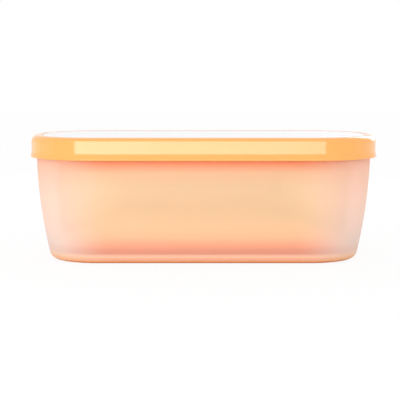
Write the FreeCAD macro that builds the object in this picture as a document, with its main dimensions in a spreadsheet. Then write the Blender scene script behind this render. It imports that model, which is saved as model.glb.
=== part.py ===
import FreeCAD, Part
import Sketcher
import math
import os

# Insulated ice cream tub, in millimetres and +Z up. The origin is the middle of the underside,
# X runs along the tub and -Y is its front.
#
# A coloured inner tub hangs by its flange from the rim of a frosted outer shell, so that an air
# gap runs between the two all round and underneath. A lid presses down over the flange: a moulded
# rim with a flared skirt, and a pale panel seated in a rebate in its top. A soft foot carries on
# the round of the shell's base down to the table.
#
# One plan outline rules every piece: straight long sides, round corners and gently bowed ends.
# It is given at the lid's lip, where the tub is widest, and each piece follows it at its own inset.
# Walls are sections swept round that outline, and floors are pads of the same outline.

DIMS = {
    # plan outline at the lip of the lid
    "lid_length": 248.5,
    "lid_width": 116.0,
    "corner_radius": 49.0,
    "end_radius": 112.0,
    # lid
    "overall_height": 88.4,
    "skirt_drop": 15.6,
    "skirt_wall": 2.0,
    "flare_out": 0.7,
    "flare_drop": 10.2,
    "lip_radius": 0.9,
    "shoulder_radius": 4.2,
    "panel_inset": 8.4,
    "panel_gap": 0.15,
    "panel_depth": 2.4,
    "panel_sink": 0.2,
    "panel_edge": 0.4,
    "ledge_width": 7.2,
    "ledge_thickness": 2.2,
    # outer shell
    "shell_inset": 4.35,
    "shell_bulge": 341.0,
    "bulge_height": 81.0,
    "shell_wall": 1.8,
    "rim_height": 81.6,
    "base_radius": 6.3,
    "cove_radius": 4.4,
    "floor_thickness": 2.2,
    # foot under the shell
    "foot_height": 1.6,
    # inner tub
    "tub_inset": 13.3,
    "tub_bulge": 333.0,
    "tub_bulge_height": 104.0,
    "tub_base_radius": 12.0,
    "tub_underside": 9.6,
    "flange_inset": 3.7,
    # where a swept wall gives way to the flat pad inside it
    "core_inset": 40.0,
    "core_overlap": 3.0,
}

HALF_LENGTH = "Dims.lid_length / 2"
HALF_WIDTH = "Dims.lid_width / 2"
FLANGE_TOP = "Dims.overall_height - Dims.panel_depth - Dims.ledge_thickness"
LIP_HEIGHT = "Dims.overall_height - Dims.skirt_drop"
FLOOR_TOP = "Dims.foot_height + Dims.floor_thickness"

doc = FreeCAD.newDocument("ice_cream_tub")
sheet = doc.addObject("Spreadsheet::Sheet", "Dims")
for row, (alias, number) in enumerate(DIMS.items(), start=1):
    sheet.set(f"A{row}", alias)
    sheet.set(f"B{row}", str(number))
    sheet.setAlias(f"B{row}", alias)
doc.recompute()

START, END, CENTRE = 1, 2, 3
ORIGIN = (-1, START)
X_AXIS = -1


def value(expression):
    """The number that an expression on the sheet stands for."""
    return float(sheet.evalExpression(expression))


# ---------------------------------------------------------------- sketching helpers

def new_sketch(body, name, role, height=None):
    """An empty sketch on one of the body's own origin planes, raised by an expression."""
    plane = next(item for item in body.Origin.OriginFeatures if item.Role == role)
    sketch = body.newObject("Sketcher::SketchObject", name)
    sketch.AttachmentSupport = [(plane, "")]
    sketch.MapMode = "FlatFace"
    if height:
        sketch.setExpression("AttachmentOffset.Base.z", height)
    return sketch


def arc(centre, radius, start, end):
    """A counter-clockwise arc between two angles in radians."""
    circle = Part.Circle(FreeCAD.Vector(*centre, 0), FreeCAD.Vector(0, 0, 1), radius)
    return Part.ArcOfCircle(circle, start, end)


def line(start, end):
    return Part.LineSegment(FreeCAD.Vector(*start, 0), FreeCAD.Vector(*end, 0))


def size(sketch, kind, refs, expression):
    """A driving dimension bound to the sheet. Two points are measured from the first to the second."""
    index = sketch.addConstraint(Sketcher.Constraint(kind, *refs, value(expression)))
    sketch.setExpression(f"Constraints[{index}]", expression)


def place(sketch, point, x=None, y=None):
    """Sizes from the origin to a point, written as expressions in the sketch's own axes."""
    if x:
        size(sketch, "DistanceX", (*ORIGIN, *point), x)
    if y:
        size(sketch, "DistanceY", (*ORIGIN, *point), y)


def relate(sketch, kind, *refs):
    sketch.addConstraint(Sketcher.Constraint(kind, *refs))


class Loop:
    """A closed run of lines and arcs in a sketch, drawn in order and joined end to end."""

    def __init__(self, sketch, start):
        self.sketch = sketch
        self.start = self.here = start
        self.pieces = []

    def _add(self, geometry, first, last, smooth):
        index = self.sketch.addGeometry(geometry, False)
        if self.pieces:
            self._join(self.pieces[-1], (index, first), smooth)
        self.pieces.append((index, first, last))
        return index

    def _join(self, piece, entry, smooth):
        kind = "Tangent" if smooth else "Coincident"
        relate(self.sketch, kind, piece[0], piece[2], *entry)

    def line_to(self, end, smooth=False):
        index = self._add(line(self.here, end), START, END, smooth)
        self.here = end
        return index

    def arc_to(self, centre, end, clockwise=False, smooth=True):
        radius = math.dist(centre, end)
        angles = [math.atan2(p[1] - centre[1], p[0] - centre[0]) for p in (self.here, end)]
        if clockwise:
            index = self._add(arc(centre, radius, *reversed(angles)), END, START, smooth)
        else:
            index = self._add(arc(centre, radius, *angles), START, END, smooth)
        self.here = end
        return index

    def close(self):
        first = self.pieces[0]
        self._join(self.pieces[-1], first[:2], False)


def draw_outline(body, name, inset, height=None):
    """The plan outline at an inset from the lid's lip: two lines and seven tangent arcs.

    The right end's arc is split on the X axis, so that a sweep has a corner to start from there.
    """
    sketch = new_sketch(body, name, "XY_Plane", height)
    step = value(inset)
    half_width = value(HALF_WIDTH) - step
    corner = DIMS["corner_radius"] - step
    end = DIMS["end_radius"] - step
    end_x = value(HALF_LENGTH) - DIMS["end_radius"]
    corner_y = half_width - corner
    corner_x = end_x + math.sqrt((end - corner) ** 2 - corner_y ** 2)
    turn = math.atan2(corner_y, corner_x - end_x)
    quarter = math.pi / 2
    half = math.pi
    sketch.addGeometry([
        arc((end_x, 0), end, 0, turn),
        arc((corner_x, corner_y), corner, turn, quarter),
        line((corner_x, half_width), (-corner_x, half_width)),
        arc((-corner_x, corner_y), corner, quarter, half - turn),
        arc((-end_x, 0), end, half - turn, half + turn),
        arc((-corner_x, -corner_y), corner, half + turn, 3 * quarter),
        line((-corner_x, -half_width), (corner_x, -half_width)),
        arc((corner_x, -corner_y), corner, 3 * quarter, 2 * half - turn),
        arc((end_x, 0), end, -turn, 0),
    ], False)
    back, left_end, front, last = 2, 4, 6, 8
    for first in range(last):
        relate(sketch, "Tangent", first, END, first + 1, START)
    relate(sketch, "Coincident", last, END, 0, START)
    relate(sketch, "Coincident", last, CENTRE, 0, CENTRE)
    for other in (3, 5, 7):
        relate(sketch, "Equal", 1, other)
    relate(sketch, "Equal", 0, left_end)
    relate(sketch, "PointOnObject", 0, CENTRE, X_AXIS)
    relate(sketch, "PointOnObject", 0, START, X_AXIS)
    relate(sketch, "Symmetric", 0, CENTRE, left_end, CENTRE, *ORIGIN)
    relate(sketch, "Horizontal", back)
    relate(sketch, "Horizontal", front)
    size(sketch, "Radius", (1,), f"Dims.corner_radius - ({inset})")
    size(sketch, "Radius", (0,), f"Dims.end_radius - ({inset})")
    place(sketch, (0, CENTRE), x=f"{HALF_LENGTH} - Dims.end_radius")
    place(sketch, (back, START), y=f"{HALF_WIDTH} - ({inset})")
    size(sketch, "DistanceY", (front, START, *ORIGIN), f"{HALF_WIDTH} - ({inset})")
    return sketch


# ---------------------------------------------------------------- feature helpers

def new_body(label):
    body = doc.addObject("PartDesign::Body", label)
    body.Label = label
    body.Placement = FreeCAD.Placement()
    return body


def sweep(body, name, section, inset):
    """Carries a section, drawn across the right end, once round the plan outline."""
    path = draw_outline(body, f"{name}_path", inset)
    pipe = body.newObject("PartDesign::AdditivePipe", name)
    pipe.Profile = section
    pipe.Spine = (path, [])
    return pipe


def pad(body, name, inset, bottom, thickness):
    """A flat plate of the plan outline."""
    outline = draw_outline(body, f"{name}_outline", inset, bottom)
    plate = body.newObject("PartDesign::Pad", name)
    plate.Profile = outline
    plate.setExpression("Length", thickness)
    return plate


def core(body, bottom, thickness):
    """The flat middle of a piece. It runs a little under its swept wall, so that they fuse."""
    return pad(body, f"{body.Label}_core", "Dims.core_inset - Dims.core_overlap", bottom, thickness)


def circle_x(centre, radius, height):
    """Where a circle's outer side stands at a height."""
    return centre[0] + math.sqrt(radius ** 2 - (height - centre[1]) ** 2)


def inner_round(bulge, bulge_radius, round_radius, round_height):
    """The centre of a small circle that touches a big one from inside, and the point of touch."""
    reach = bulge_radius - round_radius
    centre = (circle_x(bulge, reach, round_height), round_height)
    scale = bulge_radius / reach
    touch = tuple(bulge[i] + (centre[i] - bulge[i]) * scale for i in (0, 1))
    return centre, touch


# ---------------------------------------------------------------- outer shell

def build_outer_shell():
    """A thin frosted wall that bulges a little, turned under in a round base with a flat floor."""
    body = new_body("outer_shell")
    wall = DIMS["shell_wall"]
    outer_r = DIMS["shell_bulge"]
    inner_r = outer_r - wall
    bulge_x = f"{HALF_LENGTH} - Dims.shell_inset - Dims.shell_bulge"
    bulge = (value(bulge_x), DIMS["bulge_height"])
    under = DIMS["foot_height"]
    floor = value(FLOOR_TOP)
    rim = DIMS["rim_height"]
    core_x = value(HALF_LENGTH) - DIMS["core_inset"]
    base_r = DIMS["base_radius"]
    base, base_touch = inner_round(bulge, outer_r, base_r, base_r)
    cove_r = DIMS["cove_radius"]
    cove, cove_touch = inner_round(bulge, inner_r, cove_r, floor + cove_r)
    rim_out = (circle_x(bulge, outer_r, rim), rim)
    rim_in = (circle_x(bulge, inner_r, rim), rim)

    section = new_sketch(body, "shell_section", "XZ_Plane")
    loop = Loop(section, (core_x, under))
    underside = loop.line_to((circle_x(base, base_r, under), under))
    turn = loop.arc_to(base, base_touch, smooth=False)
    outside = loop.arc_to(bulge, rim_out)
    top = loop.line_to(rim_in)
    inside = loop.arc_to(bulge, cove_touch, clockwise=True, smooth=False)
    hollow = loop.arc_to(cove, (cove[0], floor), clockwise=True)
    floor_line = loop.line_to((core_x, floor), smooth=True)
    edge = loop.line_to((core_x, under))
    loop.close()
    relate(section, "Horizontal", underside)
    relate(section, "Horizontal", top)
    relate(section, "Horizontal", floor_line)
    relate(section, "Vertical", edge)
    relate(section, "Coincident", outside, CENTRE, inside, CENTRE)
    size(section, "Radius", (outside,), "Dims.shell_bulge")
    size(section, "Radius", (inside,), "Dims.shell_bulge - Dims.shell_wall")
    size(section, "Radius", (turn,), "Dims.base_radius")
    size(section, "Radius", (hollow,), "Dims.cove_radius")
    place(section, (outside, CENTRE), x=bulge_x, y="Dims.bulge_height")
    place(section, (turn, CENTRE), y="Dims.base_radius")
    place(section, (top, START), y="Dims.rim_height")
    place(section, (floor_line, END), x=f"{HALF_LENGTH} - Dims.core_inset", y=FLOOR_TOP)
    place(section, (underside, START), y="Dims.foot_height")
    sweep(body, "shell_wall", section, "Dims.shell_inset")
    core(body, "Dims.foot_height", "Dims.floor_thickness")
    return body


# ---------------------------------------------------------------- foot

def build_base_foot():
    """A soft pad under the floor, whose edge carries on the round of the shell's base."""
    body = new_body("base_foot")
    base_r = DIMS["base_radius"]
    bulge_x = f"{HALF_LENGTH} - Dims.shell_inset - Dims.shell_bulge"
    bulge = (value(bulge_x), DIMS["bulge_height"])
    base, _ = inner_round(bulge, DIMS["shell_bulge"], base_r, base_r)
    top = DIMS["foot_height"]
    core_x = value(HALF_LENGTH) - DIMS["core_inset"]
    # the base round's centre lies on a circle about the bulge's centre, less the base radius
    base_x = (f"{bulge_x} + sqrt(pow(Dims.shell_bulge - Dims.base_radius; 2)"
              " - pow(Dims.bulge_height - Dims.base_radius; 2))")

    section = new_sketch(body, "foot_section", "XZ_Plane")
    loop = Loop(section, (core_x, 0))
    sole = loop.line_to((base[0], 0))
    side = loop.arc_to(base, (circle_x(base, base_r, top), top))
    seat = loop.line_to((core_x, top))
    edge = loop.line_to((core_x, 0))
    loop.close()
    relate(section, "Horizontal", seat)
    relate(section, "Horizontal", sole)
    relate(section, "Vertical", edge)
    relate(section, "PointOnObject", sole, START, X_AXIS)
    size(section, "Radius", (side,), "Dims.base_radius")
    place(section, (side, CENTRE), x=base_x)
    place(section, (seat, END), x=f"{HALF_LENGTH} - Dims.core_inset", y="Dims.foot_height")
    sweep(body, "foot_edge", section, "Dims.shell_inset")
    core(body, None, "Dims.foot_height")
    return body


# ---------------------------------------------------------------- inner tub

def build_inner_tub():
    """The closed tub that holds the ice cream, with a flange that covers the shell's rim."""
    body = new_body("inner_tub")
    bulge_r = DIMS["tub_bulge"]
    bulge_x = f"{HALF_LENGTH} - Dims.tub_inset - Dims.tub_bulge"
    bulge = (value(bulge_x), DIMS["tub_bulge_height"])
    base_r = DIMS["tub_base_radius"]
    under = DIMS["tub_underside"]
    base, base_touch = inner_round(bulge, bulge_r, base_r, under + base_r)
    rim = DIMS["rim_height"]
    top = value(FLANGE_TOP)
    core_x = value(HALF_LENGTH) - DIMS["core_inset"]
    flange_x = value(HALF_LENGTH) - DIMS["flange_inset"]

    section = new_sketch(body, "tub_section", "XZ_Plane")
    loop = Loop(section, (core_x, under))
    underside = loop.line_to((base[0], under))
    turn = loop.arc_to(base, base_touch)
    side = loop.arc_to(bulge, (circle_x(bulge, bulge_r, rim), rim))
    seat = loop.line_to((flange_x, rim))
    brim = loop.line_to((flange_x, top))
    face = loop.line_to((core_x, top))
    edge = loop.line_to((core_x, under))
    loop.close()
    for level in (underside, seat, face):
        relate(section, "Horizontal", level)
    relate(section, "Vertical", brim)
    relate(section, "Vertical", edge)
    size(section, "Radius", (turn,), "Dims.tub_base_radius")
    size(section, "Radius", (side,), "Dims.tub_bulge")
    place(section, (side, CENTRE), x=bulge_x, y="Dims.tub_bulge_height")
    place(section, (underside, START), x=f"{HALF_LENGTH} - Dims.core_inset", y="Dims.tub_underside")
    place(section, (brim, START), x=f"{HALF_LENGTH} - Dims.flange_inset", y="Dims.rim_height")
    place(section, (brim, END), y=FLANGE_TOP)
    sweep(body, "tub_wall", section, "Dims.tub_inset")
    core(body, "Dims.tub_underside", f"{FLANGE_TOP} - Dims.tub_underside")
    return body


# ---------------------------------------------------------------- lid

def build_lid_rim():
    """The lid's moulded rim: flared skirt, round shoulder, and a rebate and ledge for the panel."""
    body = new_body("lid_rim")
    top = DIMS["overall_height"]
    lip = value(LIP_HEIGHT)
    lip_r = DIMS["lip_radius"]
    shoulder_r = DIMS["shoulder_radius"]
    flare_out = DIMS["flare_out"]
    half_length = value(HALF_LENGTH)
    skirt_x = half_length - flare_out
    inside_x = skirt_x - DIMS["skirt_wall"]
    rebate_x = half_length - DIMS["panel_inset"]
    ledge_x = rebate_x - DIMS["ledge_width"]
    seat = top - DIMS["panel_depth"]
    under = value(FLANGE_TOP)
    flare_top = top - DIMS["flare_drop"]
    bead = (half_length - lip_r, lip + lip_r)
    # the flare leaves the skirt upright and touches the rolled lip from outside
    rise = flare_top - bead[1]
    run = skirt_x - bead[0]
    flare_r = (rise ** 2 + run ** 2 - lip_r ** 2) / (2 * (lip_r - run))
    flare = (skirt_x + flare_r, flare_top)
    share = lip_r / (lip_r + flare_r)
    touch = tuple(bead[i] + (flare[i] - bead[i]) * share for i in (0, 1))

    section = new_sketch(body, "lid_section", "XZ_Plane")
    loop = Loop(section, (inside_x, lip))
    foot = loop.line_to((bead[0], lip))
    roll = loop.arc_to(bead, touch)
    flared = loop.arc_to(flare, (skirt_x, flare_top), clockwise=True)
    skirt = loop.line_to((skirt_x, top - shoulder_r), smooth=True)
    shoulder = loop.arc_to((skirt_x - shoulder_r, top - shoulder_r), (skirt_x - shoulder_r, top))
    land = loop.line_to((rebate_x, top), smooth=True)
    rebate = loop.line_to((rebate_x, seat))
    ledge = loop.line_to((ledge_x, seat))
    nose = loop.line_to((ledge_x, under))
    web = loop.line_to((inside_x, under))
    inner = loop.line_to((inside_x, lip))
    loop.close()
    for level in (foot, ledge, web):
        relate(section, "Horizontal", level)
    for upright in (skirt, rebate, nose, inner):
        relate(section, "Vertical", upright)
    relate(section, "Horizontal", land)
    size(section, "Radius", (roll,), "Dims.lip_radius")
    size(section, "Radius", (shoulder,), "Dims.shoulder_radius")
    place(section, (roll, CENTRE), x=f"{HALF_LENGTH} - Dims.lip_radius",
          y=f"{LIP_HEIGHT} + Dims.lip_radius")
    place(section, (skirt, START), x=f"{HALF_LENGTH} - Dims.flare_out",
          y="Dims.overall_height - Dims.flare_drop")
    place(section, (land, END), x=f"{HALF_LENGTH} - Dims.panel_inset", y="Dims.overall_height")
    place(section, (ledge, END), x=f"{HALF_LENGTH} - Dims.panel_inset - Dims.ledge_width",
          y="Dims.overall_height - Dims.panel_depth")
    place(section, (web, END), x=f"{HALF_LENGTH} - Dims.flare_out - Dims.skirt_wall", y=FLANGE_TOP)
    sweep(body, "lid_moulding", section, "0")
    return body


def build_lid_panel():
    """The pale panel that closes the lid, just below flush, with its top edge eased."""
    body = new_body("lid_panel")
    plate = pad(body, "panel_plate", "Dims.panel_inset + Dims.panel_gap",
                "Dims.overall_height - Dims.panel_depth", "Dims.panel_depth - Dims.panel_sink")
    doc.recompute()
    top = plate.Shape.BoundBox.ZMax
    rim = [f"Edge{i}" for i, edge in enumerate(plate.Shape.Edges, start=1)
           if min(vertex.Z for vertex in edge.Vertexes) > top - 1e-6]
    eased = body.newObject("PartDesign::Fillet", "panel_edge")
    eased.Base = (plate, rim)
    eased.setExpression("Radius", "Dims.panel_edge")
    return body


# ---------------------------------------------------------------- build, check and write

bodies = [build() for build in (build_outer_shell, build_base_foot, build_inner_tub,
                                build_lid_rim, build_lid_panel)]
doc.recompute()

for item in doc.Objects:
    if {"Invalid", "Error"} & set(item.State):
        raise RuntimeError(f"{item.Name} failed: {item.State}")
    if item.isDerivedFrom("Sketcher::SketchObject") and not item.FullyConstrained:
        raise RuntimeError(f"{item.Name} is not fully constrained")

os.makedirs("parts", exist_ok=True)
for body in bodies:
    shape = body.Shape
    if shape.isNull() or not shape.isValid() or len(shape.Solids) != 1:
        raise RuntimeError(f"{body.Label} is not one valid solid")
    shape.exportStep(f"parts/{body.Label}.step")
    box = shape.optimalBoundingBox()
    print(f"{body.Label}: {box.XLength:.2f} x {box.YLength:.2f} x {box.ZLength:.2f} mm,"
          f" z {box.ZMin:.2f} to {box.ZMax:.2f}, {shape.Volume / 1000:.1f} cm3")
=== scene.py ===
# %% [markdown]
# # An insulated ice cream tub
# The tub is five moulded pieces: a frosted outer shell, a coloured inner tub that hangs inside it,
# a soft foot under the shell, the moulded rim of the lid and the pale panel set into that rim.
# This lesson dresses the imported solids, sweeps the two pieces that carry the looks round one
# outline, gives each piece its finish, and lights the whole.

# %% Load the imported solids
import math

import bmesh
import bpy
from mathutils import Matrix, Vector


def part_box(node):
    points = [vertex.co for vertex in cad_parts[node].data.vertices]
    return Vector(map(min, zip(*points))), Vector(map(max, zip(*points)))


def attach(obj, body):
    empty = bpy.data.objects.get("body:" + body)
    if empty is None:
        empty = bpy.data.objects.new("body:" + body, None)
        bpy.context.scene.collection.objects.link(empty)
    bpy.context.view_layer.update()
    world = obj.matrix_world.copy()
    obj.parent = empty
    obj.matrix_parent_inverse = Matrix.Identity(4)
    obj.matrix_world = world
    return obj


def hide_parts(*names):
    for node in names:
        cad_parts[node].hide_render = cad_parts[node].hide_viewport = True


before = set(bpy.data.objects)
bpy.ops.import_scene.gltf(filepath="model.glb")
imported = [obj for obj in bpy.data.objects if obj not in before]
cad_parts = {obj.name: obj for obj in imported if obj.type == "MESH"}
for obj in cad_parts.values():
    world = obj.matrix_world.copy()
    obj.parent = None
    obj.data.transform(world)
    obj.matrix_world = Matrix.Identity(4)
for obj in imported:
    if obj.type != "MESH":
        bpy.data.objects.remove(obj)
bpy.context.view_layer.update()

MM = 0.001
print("solids:", sorted(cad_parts))

# %% [markdown]
# ## Sizes
# Everything starts from the solids' own boxes, so a piece made here is as large as the one that it
# stands for. The boxes are read in millimetres, the unit that a moulder works in. What a box can't
# tell, such as a wall's thickness or the radius of a bulge, is named beside the piece that has it.

# %% Read the boxes
def box_mm(node):
    """The lowest and highest corner of a solid, in millimetres."""
    low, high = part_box(node)
    return Vector(low) / MM, Vector(high) / MM


rim_low, rim_high = box_mm("lid_rim")
shell_low, shell_high = box_mm("outer_shell")
panel_low, panel_high = box_mm("lid_panel")
HALF_LENGTH = rim_high.x
HALF_WIDTH = rim_high.y
print(f"lid {2 * HALF_LENGTH:.1f} x {2 * HALF_WIDTH:.1f} mm, top at {rim_high.z:.1f} mm")

# %% [markdown]
# ## A short hand for node trees
# Both the sweep and the finishes are node trees, and a tree written socket by socket is hard to
# read. A wire is one output socket whose sums and products add Math nodes, so a rule can be written
# as the formula that it is. Every other node comes from one method, which takes the node's type,
# its settings and what its sockets get. A colour ramp's stops count as a setting.

# %% The wire and the tree
class Wire:
    """An output of a node tree. Arithmetic on it adds Math nodes."""

    def __init__(self, tree, socket):
        self.tree = tree
        self.socket = socket

    def __add__(self, other):
        return self.tree.maths("ADD", self, other)

    __radd__ = __add__

    def __sub__(self, other):
        return self.tree.maths("SUBTRACT", self, other)

    def __rsub__(self, other):
        return self.tree.maths("SUBTRACT", other, self)

    def __mul__(self, other):
        return self.tree.maths("MULTIPLY", self, other)

    __rmul__ = __mul__

    def __truediv__(self, other):
        return self.tree.maths("DIVIDE", self, other)


class Tree:
    """A node tree with one method that adds a node and gives back its output as a wire."""

    def __init__(self, nodes):
        self.nodes = nodes

    def node(self, kind, settings=None, sockets=None, output=0):
        """A node of a type, with its settings and what its sockets get, as the wire of one output."""
        made = self.nodes.nodes.new(kind)
        for name, setting in (settings or {}).items():
            if name == "stops":
                set_stops(made.color_ramp, setting)
            else:
                setattr(made, name, setting)
        for key, given in (sockets or {}).items():
            if isinstance(given, Wire):
                self.nodes.links.new(given.socket, made.inputs[key])
            else:
                made.inputs[key].default_value = given
        return Wire(self, made.outputs[output]) if len(made.outputs) else made

    def maths(self, operation, *values):
        return self.node("ShaderNodeMath", {"operation": operation}, dict(enumerate(values)))


def set_stops(ramp, stops):
    """Gives a colour ramp its stops, as a colour for each position from 0 to 1."""
    while len(ramp.elements) < len(stops):
        ramp.elements.new(1.0)
    for element, (position, shade) in zip(ramp.elements, sorted(stops.items())):
        element.position = position
        element.color = (*shade, 1.0)


print("a wire can be added, subtracted, multiplied and divided")

# %% [markdown]
# ## One outline for the whole tub
# Seen from above, the tub has straight long sides, round corners and gently bowed ends. Each point
# of such an outline is a corner's or an end's centre plus its radius in the direction the wall
# faces, so the whole outline follows from one angle. Geometry Nodes states that rule once: a circle
# gives the points, the rule moves each to its place, and a section is swept round the result. A
# Bevel on a curve object could sweep as well, but it would need the outline drawn again for each
# piece.

# %% The sweep as a node tree
CORNER_RADIUS = 49.0
END_RADIUS = 112.0
OUTLINE = {
    "Half length": HALF_LENGTH * MM,
    "Half width": HALF_WIDTH * MM,
    "Corner radius": CORNER_RADIUS * MM,
    "End radius": END_RADIUS * MM,
}
STATIONS = 256


def outline_point(tree, angle, size):
    """Where the outline's point lies whose wall faces that angle."""
    across = tree.maths("COSINE", angle)
    along = tree.maths("SINE", angle)
    corner, end = size["Corner radius"], size["End radius"]
    corner_y = size["Half width"] - corner
    end_x = size["Half length"] - end
    reach = end - corner
    corner_x = end_x + tree.maths("SQRT", reach * reach - corner_y * corner_y)
    at_end = tree.maths("LESS_THAN", tree.maths("ABSOLUTE", along), corner_y / reach)
    radius = corner + at_end * reach
    centre_x = corner_x + at_end * (end_x - corner_x)
    centre_y = corner_y - at_end * corner_y
    x = tree.maths("SIGN", across) * centre_x + radius * across
    y = tree.maths("SIGN", along) * centre_y + radius * along
    return tree.node("ShaderNodeCombineXYZ", None, {"X": x, "Y": y})


def sweep_tree():
    """The node group: a section, given as edges, swept round the tub's outline."""
    group = bpy.data.node_groups.new("sweep_round_the_outline", "GeometryNodeTree")
    group.interface.new_socket("Section", in_out="INPUT", socket_type="NodeSocketGeometry")
    for name in OUTLINE:
        group.interface.new_socket(name, in_out="INPUT", socket_type="NodeSocketFloat")
    group.interface.new_socket("Stations", in_out="INPUT", socket_type="NodeSocketInt")
    group.interface.new_socket("Finish", in_out="INPUT", socket_type="NodeSocketMaterial")
    group.interface.new_socket("Piece", in_out="OUTPUT", socket_type="NodeSocketGeometry")
    tree = Tree(group)
    given = tree.node("NodeGroupInput").socket.node
    size = {socket.name: Wire(tree, socket) for socket in given.outputs if socket.name}
    circle = tree.node("GeometryNodeCurvePrimitiveCircle", None, {"Resolution": size["Stations"]})
    # half a step keeps every station clear of the points where the outline changes sides
    index = tree.node("GeometryNodeInputIndex")
    angle = (index + 0.5) * math.tau / size["Stations"]
    point = outline_point(tree, angle, size)
    outline = tree.node("GeometryNodeSetPosition", None, {"Geometry": circle, "Position": point})
    level = tree.node("GeometryNodeSetCurveNormal", {"mode": "Z_UP"}, {"Curve": outline})
    section = tree.node("GeometryNodeMeshToCurve", None, {"Mesh": size["Section"]})
    wall = tree.node("GeometryNodeCurveToMesh", None, {"Curve": level, "Profile Curve": section})
    real = tree.node("GeometryNodeRealizeInstances", None, {"Geometry": wall})
    dressed = tree.node("GeometryNodeSetMaterial", None, {"Geometry": real, "Material": size["Finish"]})
    tree.node("NodeGroupOutput", None, {"Piece": dressed})
    return group


sweep = sweep_tree()
print("sweep:", len(sweep.nodes), "nodes,", STATIONS, "stations round the outline")

# %% [markdown]
# ## Sections
# A moulded wall is known by its section. Here a section is a run of points, each given by how far
# it stands out from the lid's lip and how high it is, in millimetres. Arcs are sampled from their
# centre and radius, and a moulded edge is eased by a small arc, because no mould gives a sharp one.

# %% Arcs and eased corners
def arc(centre, radius, start, stop, steps):
    """Points on an arc from one angle to another, in degrees."""
    angles = [math.radians(start + (stop - start) * step / steps) for step in range(steps + 1)]
    return [(centre[0] + radius * math.cos(a), centre[1] + radius * math.sin(a)) for a in angles]


def eased(before, corner, after, radius, steps=4):
    """A small arc in place of a square corner between two straight runs."""
    back = (Vector(before) - Vector(corner)).normalized() * radius
    ahead = (Vector(after) - Vector(corner)).normalized() * radius
    centre = Vector(corner) + back + ahead
    turns = [step / steps * math.pi / 2 for step in range(steps + 1)]
    return [tuple(centre - ahead * math.cos(turn) - back * math.sin(turn)) for turn in turns]


def direction(centre, point):
    """The angle, in degrees, at which a point is seen from a centre."""
    return math.degrees(math.atan2(point[1] - centre[1], point[0] - centre[0]))


print("an eased corner has", len(eased((0, 0), (1, 0), (1, 1), 0.3)), "points")

# %% [markdown]
# ## From section to piece
# The section becomes a mesh of edges, the modifier sweeps it, and the result is copied out as a
# plain mesh. A section that stops at the flat middle of the tub leaves two holes, which are filled
# with one flat face each. Curve to Mesh lays a section's second axis downwards, so heights are
# negated on the way in.

# %% Sweep a section into a finished mesh
SMOOTH_UP_TO = math.radians(32)


def section_mesh(name, points, closed):
    """A section as a mesh of edges, in metres."""
    mesh = bpy.data.meshes.new(name)
    count = len(points)
    edges = [(i, (i + 1) % count) for i in range(count if closed else count - 1)]
    mesh.from_pydata([(out * MM, -height * MM, 0) for out, height in points], edges, [])
    return mesh


def swept_piece(name, points, finish, closed=True):
    """A piece of the tub: a section swept once round the outline."""
    piece = bpy.data.objects.new(name, section_mesh(name, points, closed))
    bpy.context.scene.collection.objects.link(piece)
    modifier = piece.modifiers.new("sweep", "NODES")
    modifier.node_group = sweep
    values = {**OUTLINE, "Stations": STATIONS, "Finish": finish}
    for item in sweep.interface.items_tree:
        if item.name in values:
            modifier[item.identifier] = values[item.name]
    graph = bpy.context.evaluated_depsgraph_get()
    piece.data = bpy.data.meshes.new_from_object(piece.evaluated_get(graph))
    piece.modifiers.clear()
    close_and_smooth(piece.data)
    print(name, [round(side / MM, 2) for side in piece.dimensions], "mm,", len(piece.data.polygons), "faces")
    return piece


def close_and_smooth(mesh):
    """Fills the flat middles, turns every face outwards and keeps only real corners sharp."""
    work = bmesh.new()
    work.from_mesh(mesh)
    bmesh.ops.holes_fill(work, edges=[edge for edge in work.edges if edge.is_boundary])
    bmesh.ops.recalc_face_normals(work, faces=work.faces)
    for face in work.faces:
        face.smooth = True
    work.to_mesh(mesh)
    work.free()
    mesh.set_sharp_from_angle(angle=SMOOTH_UP_TO)


# %% [markdown]
# ## Finishes: shared steps
# A finish starts from the material's own Principled shader. Colours are written as they look on
# screen and turned to light values. Patterns read Object coordinates, which are metres here, so a
# grain's size is its real one, and they never slide when the camera moves.

# %% Colours, grain and bump
def screen(red, green, blue):
    """A screen colour, 0 to 255, as light values."""
    shares = [part / 255 for part in (red, green, blue)]
    return tuple(s / 12.92 if s <= 0.04045 else ((s + 0.055) / 1.055) ** 2.4 for s in shares)


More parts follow.
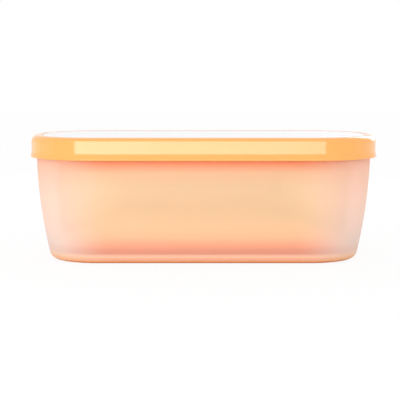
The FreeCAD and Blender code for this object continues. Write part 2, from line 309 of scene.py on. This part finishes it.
class Finish(Tree):
    """A material and the parts that every finish shares."""

    def __init__(self, name):
        self.material = bpy.data.materials.new(name)
        self.material.use_nodes = True
        super().__init__(self.material.node_tree)
        self.skin = self.nodes.nodes["Principled BSDF"]
        self.place = self.node("ShaderNodeTexCoord", output="Object")

    def noise(self, size_mm, detail=2.0):
        """Soft noise whose blotches are about that size, as a number from 0 to 1."""
        sockets = {"Vector": self.place, "Scale": 1 / (size_mm * MM), "Detail": detail}
        return self.node("ShaderNodeTexNoise", None, sockets)

    def blend(self, share, first, second):
        """One colour turning to another."""
        # a Mix node holds sockets for every kind of value, and these are its colour ones
        factor, a, b, result = 0, 6, 7, 2
        sockets = {factor: share, a: colour(first), b: colour(second)}
        return self.node("ShaderNodeMix", {"data_type": "RGBA"}, sockets, result)

    def ramp(self, value, start, stop):
        """0 before start, 1 past stop, and smooth between."""
        settings = {"interpolation_type": "SMOOTHSTEP"}
        sockets = {"Value": value, "From Min": start, "From Max": stop}
        return self.node("ShaderNodeMapRange", settings, sockets)

    def place_mm(self):
        """How far along the tub and how far up from the table, in millimetres."""
        axes = self.node("ShaderNodeSeparateXYZ", None, {"Vector": self.place}).socket.node
        return Wire(self, axes.outputs["X"]) / MM, Wire(self, axes.outputs["Z"]) / MM

    def bands(self, height, top, colours):
        """A colour for each height in millimetres, smooth between them, up to a top."""
        stops = {mm / top: shade for mm, shade in colours.items()}
        return self.node("ShaderNodeValToRGB", {"stops": stops}, {"Fac": height / top})

    def bump(self, height, depth_mm, strength):
        """A Normal that follows a height, given as the depth of its relief."""
        sockets = {"Height": height, "Distance": depth_mm * MM, "Strength": strength}
        return self.node("ShaderNodeBump", None, sockets)

    def set(self, **inputs):
        """Sets the Principled shader's sockets. An underscore in a name stands for a space."""
        for name, given in inputs.items():
            socket = self.skin.inputs[name.replace("_", " ")]
            if isinstance(given, Wire):
                self.nodes.links.new(given.socket, socket)
            else:
                socket.default_value = colour(given) if isinstance(given, tuple) else given


def colour(given):
    """A colour with the fourth value that a socket wants. A wire stays as it is."""
    return (*given, 1.0) if isinstance(given, tuple) else given


print("mid grey is", [round(part, 3) for part in screen(128, 128, 128)])

# %% [markdown]
# ## The frosted shell's finish
# The shell is clear plastic with a matt face inside and out. Light goes through it but is scattered
# on the way, so the tub behind shows as a soft patch of colour. Rough glass gives that patch, and it
# is all that the inside needs. The outside is veiled as well: a matt peach layer shares its surface
# with the glass. A veil on both faces would keep the light shut in the wall and turn it brown, and
# scattering under the skin would hide the tub.
#
# The veil isn't even. A frosted wall that is seen aslant hides more, which Layer Weight tells in
# any view. Where the tub's wall turns away from the shell and round the tub's floor, the gap between
# them is wide, and the light that comes out has been thrown about between the two. There the veil is
# made thick, and its colour is painted light and shade: a painted light line at the floor's edge, a
# salmon pink band of painted shade round the tub's floor, redder painted shade of the lid under the
# lid, and paler painted light past the tub's ends. Two colour ramps hold those painted tints by
# height, one for the wall by the tub and one for the wall beside it.

# %% Frosted shell
# painted into the veil's colour by the tub: a painted light line near 5 mm where the floor's edge shines,
# painted shade from 7.5 to 13 mm round the tub's floor, and the lid's painted shade from 64 mm up
VEIL_WITH_PAINTED_LIGHT_AND_SHADE_BY_THE_TUB = {
    2: screen(250, 190, 150),
    3.7: screen(252, 186, 152),
    5: screen(255, 203, 174),
    6.2: screen(250, 194, 166),
    7.5: screen(228, 155, 130),
    10: screen(233, 158, 133),
    13: screen(252, 171, 139),
    19: screen(255, 195, 155),
    26: screen(255, 208, 165),
    34: screen(255, 214, 171),
    54: screen(255, 218, 179),
    64: screen(255, 205, 166),
    72: screen(255, 142, 100),
}
# painted into the veil's colour past the tub's ends: paler painted light where white light comes through the
# wall, and the lid's painted shade from 64 mm up
VEIL_WITH_PAINTED_LIGHT_AND_SHADE_BESIDE_THE_TUB = {
    3: screen(249, 196, 155),
    6: screen(238, 206, 184),
    8: screen(233, 201, 186),
    14: screen(235, 211, 198),
    24: screen(244, 212, 197),
    46: screen(251, 211, 191),
    64: screen(248, 197, 173),
    72: screen(244, 188, 163),
}
# where a change starts and ends, in millimetres from the middle along the tub: the painted tint turns to
# the paler one, the tub's wall draws back from the shell, and the end wall takes over
TUB_REACH = (62.0, 110.0)
TUB_EDGE = (46.0, 94.0)
END_WALL = (100.0, 116.0)
# the same in millimetres up from the table: the tub's floor is left behind, the lid's shade begins
TUB_FLOOR = (14.0, 44.0)
LID_SHADE = (56.0, 74.0)
# the least and the most of the surface that the veil takes, how far the tub's edge and the lid's
# shade thicken it, and the Layer Weight from which a view aslant does so in full
VEIL_LEAST = 0.6
VEIL_MOST = 0.9
AT_THE_EDGE = 0.65
UNDER_THE_LID = 0.6
ASLANT = 0.42


def frosted_glass(name):
    """Clear plastic with a matt face, as rough glass."""
    finish = Finish(name)
    grain = finish.noise(size_mm=0.35, detail=3.0)
    cloud = finish.noise(size_mm=30.0, detail=1.0)
    finish.set(
        Base_Color=finish.blend(cloud, screen(255, 250, 244), screen(255, 252, 248)),
        Roughness=0.76 + 0.08 * grain,
        Transmission_Weight=1.0,
        IOR=1.1,
        Normal=finish.bump(grain, depth_mm=0.02, strength=0.3),
    )
    return finish


def veil_thickness(finish, from_middle, up):
    """How far the veil is from its least, 0, to its most, 1."""
    facing = finish.node("ShaderNodeLayerWeight", None, {"Blend": 0.5}, output=1)
    past_the_edge = finish.ramp(from_middle, *TUB_EDGE)
    on_the_long_wall = 1 - finish.ramp(from_middle, *END_WALL)
    causes = [
        finish.ramp(facing, 0.0, ASLANT),
        AT_THE_EDGE * past_the_edge * on_the_long_wall,
        # low down and under the lid the veil is thickened, so that its painted shade shows there
        1 - finish.ramp(up, *TUB_FLOOR),
        UNDER_THE_LID * finish.ramp(up, *LID_SHADE),
    ]
    thickest = causes[0]
    for cause in causes[1:]:
        thickest = finish.maths("MAXIMUM", thickest, cause)
    return thickest


def veiled_finish():
    """Frosted glass that shares its surface with a matt veil, whose colour holds painted light and shade."""
    finish = frosted_glass("frosted_outside")
    along, up = finish.place_mm()
    from_middle = finish.maths("ABSOLUTE", along)
    painted_tint_by_the_tub = finish.bands(up, shell_high.z, VEIL_WITH_PAINTED_LIGHT_AND_SHADE_BY_THE_TUB)
    painted_tint_beside_the_tub = finish.bands(up, shell_high.z, VEIL_WITH_PAINTED_LIGHT_AND_SHADE_BESIDE_THE_TUB)
    # the veil's colour: painted light and shade by height, turning to the paler painted light past the tub
    painted_light_and_shade = finish.blend(finish.ramp(from_middle, *TUB_REACH), painted_tint_by_the_tub, painted_tint_beside_the_tub)
    matt = {"Base Color": painted_light_and_shade, "Roughness": 0.6, "Specular IOR Level": 0.2}
    veil = finish.node("ShaderNodeBsdfPrincipled", None, matt)
    share = VEIL_LEAST + (VEIL_MOST - VEIL_LEAST) * veil_thickness(finish, from_middle, up)
    clear = Wire(finish, finish.skin.outputs[0])
    both = finish.node("ShaderNodeMixShader", None, {0: share, 1: clear, 2: veil})
    finish.nodes.links.new(both.socket, finish.nodes.nodes["Material Output"].inputs["Surface"])
    return finish.material


frosted = veiled_finish()
frosted_lining = frosted_glass("frosted_inside").material
for material in (frosted, frosted_lining):
    print(material.name, "has", len(material.node_tree.nodes), "nodes")

# %% [markdown]
# ## The coloured plastics
# The lid's rim is a glossy moulding, the tub a satin one in a like colour, the panel nearly white
# and the foot a soft rubbery plastic. Each has a little cloudiness in its colour, as moulded
# plastic has, and a fine skin that breaks up its shine.

# %% Lid, tub, panel and foot
def moulded_finish(name, first, second, roughness, **more):
    """A plastic that clouds from one screen colour to another under a fine skin."""
    finish = Finish(name)
    cloud = finish.noise(size_mm=40.0)
    skin = finish.noise(size_mm=0.6)
    finish.set(
        Base_Color=finish.blend(cloud, screen(*first), screen(*second)),
        Roughness=roughness - 0.02 + 0.04 * skin,
        Normal=finish.bump(skin, depth_mm=0.004, strength=0.5),
        **more,
    )
    return finish.material


glossy_orange = moulded_finish("glossy_orange", (253, 170, 86), (254, 174, 92), 0.13, IOR=1.55)
tub_orange = moulded_finish("tub_orange", (255, 213, 155), (255, 217, 162), 0.5)
pale_panel = moulded_finish("pale_panel", (244, 244, 246), (247, 247, 248), 0.4)
soft_foot = moulded_finish("soft_foot", (226, 140, 70), (232, 148, 78), 0.7)

for node, finish in {"inner_tub": tub_orange, "lid_panel": pale_panel, "base_foot": soft_foot}.items():
    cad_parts[node].data.materials.clear()
    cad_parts[node].data.materials.append(finish)
print("moulded finishes:", glossy_orange.name, tub_orange.name, pale_panel.name, soft_foot.name)

# %% [markdown]
# ## The outer shell
# The shell is one thin moulding: a wall that bulges gently, turned under in a round base with a
# flat floor. It is thin all over and clear, so both its faces bend the light and its inside has to
# be as true as its outside. The bulge is a large arc whose centre lies beyond the tub's far side, and
# each base round is a small arc that touches it from within.

# %% Sweep the shell
SHELL_INSET = HALF_LENGTH - shell_high.x
SHELL_WALL = 1.8
SHELL_BULGE = 341.0
BULGE_HEIGHT = 81.0
BASE_RADIUS = 6.3
COVE_RADIUS = 4.4
FLOOR_THICKNESS = 2.2
MIDDLE_INSET = 40.0
RIM_EASE = 0.5
CLEARLY_INWARDS = 0.2
CLEARLY_UP = 0.5


def touching_round(bulge, bulge_radius, radius, height):
    """The centre of a round at a height that touches the bulge from within."""
    reach = bulge_radius - radius
    return bulge[0] + math.sqrt(reach ** 2 - (height - bulge[1]) ** 2), height


def shell_section():
    """The shell's base, wall and floor, from the flat of its underside to the flat of its floor."""
    bulge = (-SHELL_INSET - SHELL_BULGE, BULGE_HEIGHT)
    inner = SHELL_BULGE - SHELL_WALL
    under, top = shell_low.z, shell_high.z
    floor = under + FLOOR_THICKNESS
    base = touching_round(bulge, SHELL_BULGE, BASE_RADIUS, BASE_RADIUS)
    cove = touching_round(bulge, inner, COVE_RADIUS, floor + COVE_RADIUS)
    rim_angle = math.degrees(math.asin((top - bulge[1]) / SHELL_BULGE))
    base_start = -math.degrees(math.asin((BASE_RADIUS - under) / BASE_RADIUS))
    outside = arc(bulge, SHELL_BULGE, direction(bulge, base), rim_angle, 24)
    inside = arc(bulge, inner, rim_angle, direction(bulge, cove), 24)
    rim_out, rim_in = outside.pop(), inside.pop(0)
    return [
        (-MIDDLE_INSET, under),
        *arc(base, BASE_RADIUS, base_start, direction(bulge, base), 10)[:-1],
        *outside,
        *eased(outside[-1], rim_out, rim_in, RIM_EASE),
        *eased(rim_out, rim_in, inside[0], RIM_EASE),
        *inside,
        *arc(cove, COVE_RADIUS, direction(bulge, cove), -90, 10)[1:],
        (-MIDDLE_INSET, floor),
    ]


def line_inside(mesh, lining):
    """Gives the faces that look at the tub a finish of their own."""
    mesh.materials.append(lining)
    for face in mesh.polygons:
        outwards = Vector((face.center.x, face.center.y, 0)).normalized()
        on_the_wall = face.normal.dot(outwards) < -CLEARLY_INWARDS
        on_the_floor = face.normal.z > CLEARLY_UP and face.center.z < shell_high.z * MM / 2
        face.material_index = int(on_the_wall or on_the_floor)
    print("lined faces:", sum(face.material_index for face in mesh.polygons))


outer_shell = swept_piece("frosted_shell", shell_section(), frosted, closed=False)
line_inside(outer_shell.data, frosted_lining)
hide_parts("outer_shell")
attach(outer_shell, "root")

# %% [markdown]
# ## The lid's rim
# The rim is the piece that the hand knows: an upright skirt that flares into a rolled lip, a round
# shoulder, and inside it a rebate whose ledge carries the panel. Its one section holds all of that,
# and the sweep carries it round, so the skirt's shine runs on without a seam.
#
# The shoulder is tight on the long sides and rounder at the ends, where a hand lifts the lid. The
# section has the tight one, as a quarter of an ellipse. After the sweep its points sink a little
# more the nearer they are to an end. The sweep numbers its points one section after another, so the
# remainder of a point's number tells which point of the section it is. A row of points close to
# each end of the upright skirt keeps it flat in shading, so that its shine has straight edges.

# %% Sweep the lid's rim
FLARE_OUT = 0.7
FLARE_DROP = 10.2
SKIRT_WALL = 2.0
LIP_RADIUS = 0.9
SHOULDER_WIDTH = 4.2
SHOULDER_DROP = 2.2
ENDS_DROP = 4.6
ENDS_FROM = 82.0
ENDS_FULL = 119.0
LEDGE_WIDTH = 7.2
LEDGE_THICKNESS = 2.2
PANEL_GAP = 0.15
EDGE_EASE = 0.35
STRAIGHT_FROM = 0.2
NEAR = 0.01


def lid_section():
    """The rim of the lid, once round from the bottom of its lip."""
    top, lip = rim_high.z, rim_low.z
    skirt, inside = -FLARE_OUT, -FLARE_OUT - SKIRT_WALL
    rebate = panel_high.x + PANEL_GAP - HALF_LENGTH
    ledge, seat = rebate - LEDGE_WIDTH, panel_low.z
    under = seat - LEDGE_THICKNESS
    shoulder = (skirt - SHOULDER_WIDTH, top - SHOULDER_DROP)
    slope = SHOULDER_DROP / SHOULDER_WIDTH
    round_over = arc(shoulder, SHOULDER_WIDTH, 0, 90, 20)
    roll = (-LIP_RADIUS, lip + LIP_RADIUS)
    # the flare leaves the skirt upright and touches the rolled lip from outside
    rise, run = top - FLARE_DROP - roll[1], skirt - roll[0]
    flare_radius = (rise ** 2 + run ** 2 - LIP_RADIUS ** 2) / (2 * (LIP_RADIUS - run))
    flare = (skirt + flare_radius, top - FLARE_DROP)
    touch = direction(roll, flare)
    return [
        *arc(roll, LIP_RADIUS, -90, touch, 8)[:-1],
        *arc(flare, flare_radius, touch + 180, 180, 10),
        (skirt, top - FLARE_DROP + STRAIGHT_FROM),
        (skirt, shoulder[1] - STRAIGHT_FROM),
        *[(out, shoulder[1] + (height - shoulder[1]) * slope) for out, height in round_over],
        *eased(shoulder, (rebate, top), (rebate, seat), EDGE_EASE),
        (rebate, seat),
        *eased((rebate, seat), (ledge, seat), (ledge, under), EDGE_EASE),
        *eased((ledge, seat), (ledge, under), (inside, under), EDGE_EASE),
        (inside, under),
        *eased((inside, under), (inside, lip), roll, EDGE_EASE),
    ]


def ease_the_ends(mesh, section):
    """Gives the shoulder a longer drop where the wall turns round the tub's ends."""
    lowest = SHOULDER_DROP + STRAIGHT_FROM + NEAR
    inmost = -FLARE_OUT - SHOULDER_WIDTH - NEAR
    moved = 0
    for vertex in mesh.vertices:
        out, height = section[vertex.index % len(section)]
        drop = rim_high.z - height
        if drop < lowest and out > inmost:
            share = (abs(vertex.co.x) / MM - ENDS_FROM) / (ENDS_FULL - ENDS_FROM)
            share = min(max(share, 0), 1)
            longer = (ENDS_DROP / SHOULDER_DROP - 1) * share ** 2 * (3 - 2 * share)
            vertex.co.z -= drop * longer * MM
            moved += share > 0
    print("shoulder eased at the ends:", moved, "points")


rim_section = lid_section()
lid_rim = swept_piece("lid_moulding", rim_section, glossy_orange)
ease_the_ends(lid_rim.data, rim_section)
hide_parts("lid_rim")
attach(lid_rim, "root")

# %% [markdown]
# ## Camera
# A long lens stands a little above the lid and looks slightly down, so the lid's top shows as a
# narrow sliver and the sides stay nearly upright.

# %% Place the camera
CAMERA_DISTANCE = 900
CAMERA_HEIGHT = 134.4
CAMERA_ASIDE = -2.48
CAMERA_DOWN = 0.1042
LENS = 111.95
SENSOR_WIDTH = 36

view = bpy.data.cameras.new("view")
view.sensor_width = SENSOR_WIDTH
view.lens = LENS
camera = bpy.data.objects.new("view", view)
camera.location = Vector((CAMERA_ASIDE, -CAMERA_DISTANCE, CAMERA_HEIGHT)) * MM
camera.rotation_euler = (math.pi / 2 - CAMERA_DOWN, 0, 0)
bpy.context.scene.collection.objects.link(camera)
bpy.context.scene.camera = camera
print("camera looks down", round(math.degrees(CAMERA_DOWN), 1), "degrees")

# %% [markdown]
# ## Light and floor
# The tub stands in a white studio, with light from all round at a plain level, so that a colour
# looks about as it is written. The sky and the floor show as plain white to the camera, in
# reflections and through the shell. The floor keeps part of its real shading, and with it the tub's
# shadow.

# %% World
WORLD_LEVEL = 0.98


def seen_directly(tree):
    """1 for the rays that meet a surface from the camera, in a reflection or through glass."""
    camera_ray = tree.node("ShaderNodeLightPath", output="Is Camera Ray")
    glossy_ray = tree.node("ShaderNodeLightPath", output="Is Glossy Ray")
    glass_ray = tree.node("ShaderNodeLightPath", output="Is Transmission Ray")
    return tree.maths("MAXIMUM", camera_ray, tree.maths("MAXIMUM", glossy_ray, glass_ray))


def white_world():
    """The studio's sky: white where it is seen, and a little less as a light."""
    world = bpy.data.worlds.new("studio")
    world.use_nodes = True
    tree = Tree(world.node_tree)
    world.node_tree.nodes.clear()
    level = WORLD_LEVEL + (1 - WORLD_LEVEL) * seen_directly(tree)
    sky = tree.node("ShaderNodeBackground", None, {"Color": (1, 1, 1, 1), "Strength": level})
    tree.node("ShaderNodeOutputWorld", None, {"Surface": sky})
    return world


bpy.context.scene.world = white_world()
bpy.context.scene.view_settings.view_transform = "Standard"
print("world level", WORLD_LEVEL)

# %% Floor
FLOOR_SIZE = 6.0
FLOOR_DROP = 0.1 * MM
FLOOR_PAINT = 0.92
WHITE_SHARE = 0.9


def floor_finish():
    """Matt white paint that mostly shows as plain white, and keeps a part of its shadows."""
    material = bpy.data.materials.new("white_floor")
    material.use_nodes = True
    material.node_tree.nodes.clear()
    tree = Tree(material.node_tree)
    paint = tree.node("ShaderNodeBsdfDiffuse", None, {"Color": (FLOOR_PAINT, FLOOR_PAINT, FLOOR_PAINT, 1)})
    white = tree.node("ShaderNodeEmission", None, {"Color": (1, 1, 1, 1), "Strength": 1.0})
    shown = tree.node("ShaderNodeMixShader", None, {0: WHITE_SHARE * seen_directly(tree), 1: paint, 2: white})
    tree.node("ShaderNodeOutputMaterial", None, {"Surface": shown})
    return material


bpy.ops.mesh.primitive_plane_add(size=FLOOR_SIZE, location=(0, 0, -FLOOR_DROP))
floor = bpy.context.object
floor.name = "studio_floor"
floor.data.materials.append(floor_finish())
print("floor", FLOOR_SIZE, "m square")

# %% [markdown]
# ## Lamps
# A lamp here has one of two jobs. A fill stands low on each side and lifts the upright surfaces,
# which get less of the sky than the lid's top does. In front the fills add about a third to what the
# sky and the floor give, so a colour there comes out about a fifth brighter than it is written.
# Behind they add about a quarter, and less at the ends. They aren't seen in any shine. A shine panel
# lights nothing and is only seen reflected. A row of them in front draws the long band on the lid's
# skirt, which fades from left to right. One behind on the right whitens the shoulder there. Two low
# ones beside the tub lift the lid's ends, and stay below its top, so that the pale panel doesn't
# mirror them. Places and sizes are in metres.

# %% Place the lamps
FILL_HEIGHT = 0.12
FILL_SIZE = (0.6, 0.22)
FILL_TARGET = (0, 0, 0.05)
FILLS = {
    "front_fill": (-0.22, -0.62, 2.8),
    "back_fill": (0.12, 0.65, 2.0),
    "left_fill": (-0.65, 0.0, 0.7),
    "right_fill": (0.65, 0.0, 0.5),
}
BAND_FROM = -0.365
BAND_SIZE = (0.1555, 0.09)
BAND_DISTANCE = 0.42
BAND_HEIGHT = 0.045
BAND_LEVELS = [5.7, 5.3, 4.6, 3.9]
SHINES = {
    "back_right": ((0.42, 0.6, 0.32), (0.12, 0, 0.09), (0.3, 0.4), 5.0),
    "left_side": ((-0.55, 0.25, 0.043), (0, 0.25, 0.043), (0.7, 0.085), 0.3),
    "right_side": ((0.55, 0.25, 0.043), (0, 0.25, 0.043), (0.7, 0.085), 0.2),
}


def soft_panel(name, job, place, target, size, level):
    """A rectangular lamp that faces a target. Its level is the brightness of its surface."""
    lamp = bpy.data.lights.new(name, "AREA")
    lamp.shape = "RECTANGLE"
    lamp.size, lamp.size_y = size
    lamp.energy = level * math.pi * size[0] * size[1]
    stand = bpy.data.objects.new(name, lamp)
    stand.location = place
    aim = Vector(target) - Vector(place)
    stand.rotation_euler = aim.to_track_quat("-Z", "Y").to_euler()
    stand.visible_camera = False
    stand.visible_glossy = job == "shine"
    stand.visible_diffuse = job == "fill"
    stand.visible_transmission = job == "fill"
    bpy.context.scene.collection.objects.link(stand)
    print(name, job, "at", [round(part, 2) for part in place])


for name, (x, y, level) in FILLS.items():
    soft_panel(name, "fill", (x, y, FILL_HEIGHT), FILL_TARGET, FILL_SIZE, level)
for name, (place, target, size, level) in SHINES.items():
    soft_panel(name, "shine", place, target, size, level)
for step, level in enumerate(BAND_LEVELS):
    x = BAND_FROM + (step + 0.5) * BAND_SIZE[0]
    place = (x, -BAND_DISTANCE, BAND_HEIGHT)
    soft_panel(f"front_band_{step}", "shine", place, (x, 0, BAND_HEIGHT), BAND_SIZE, level)
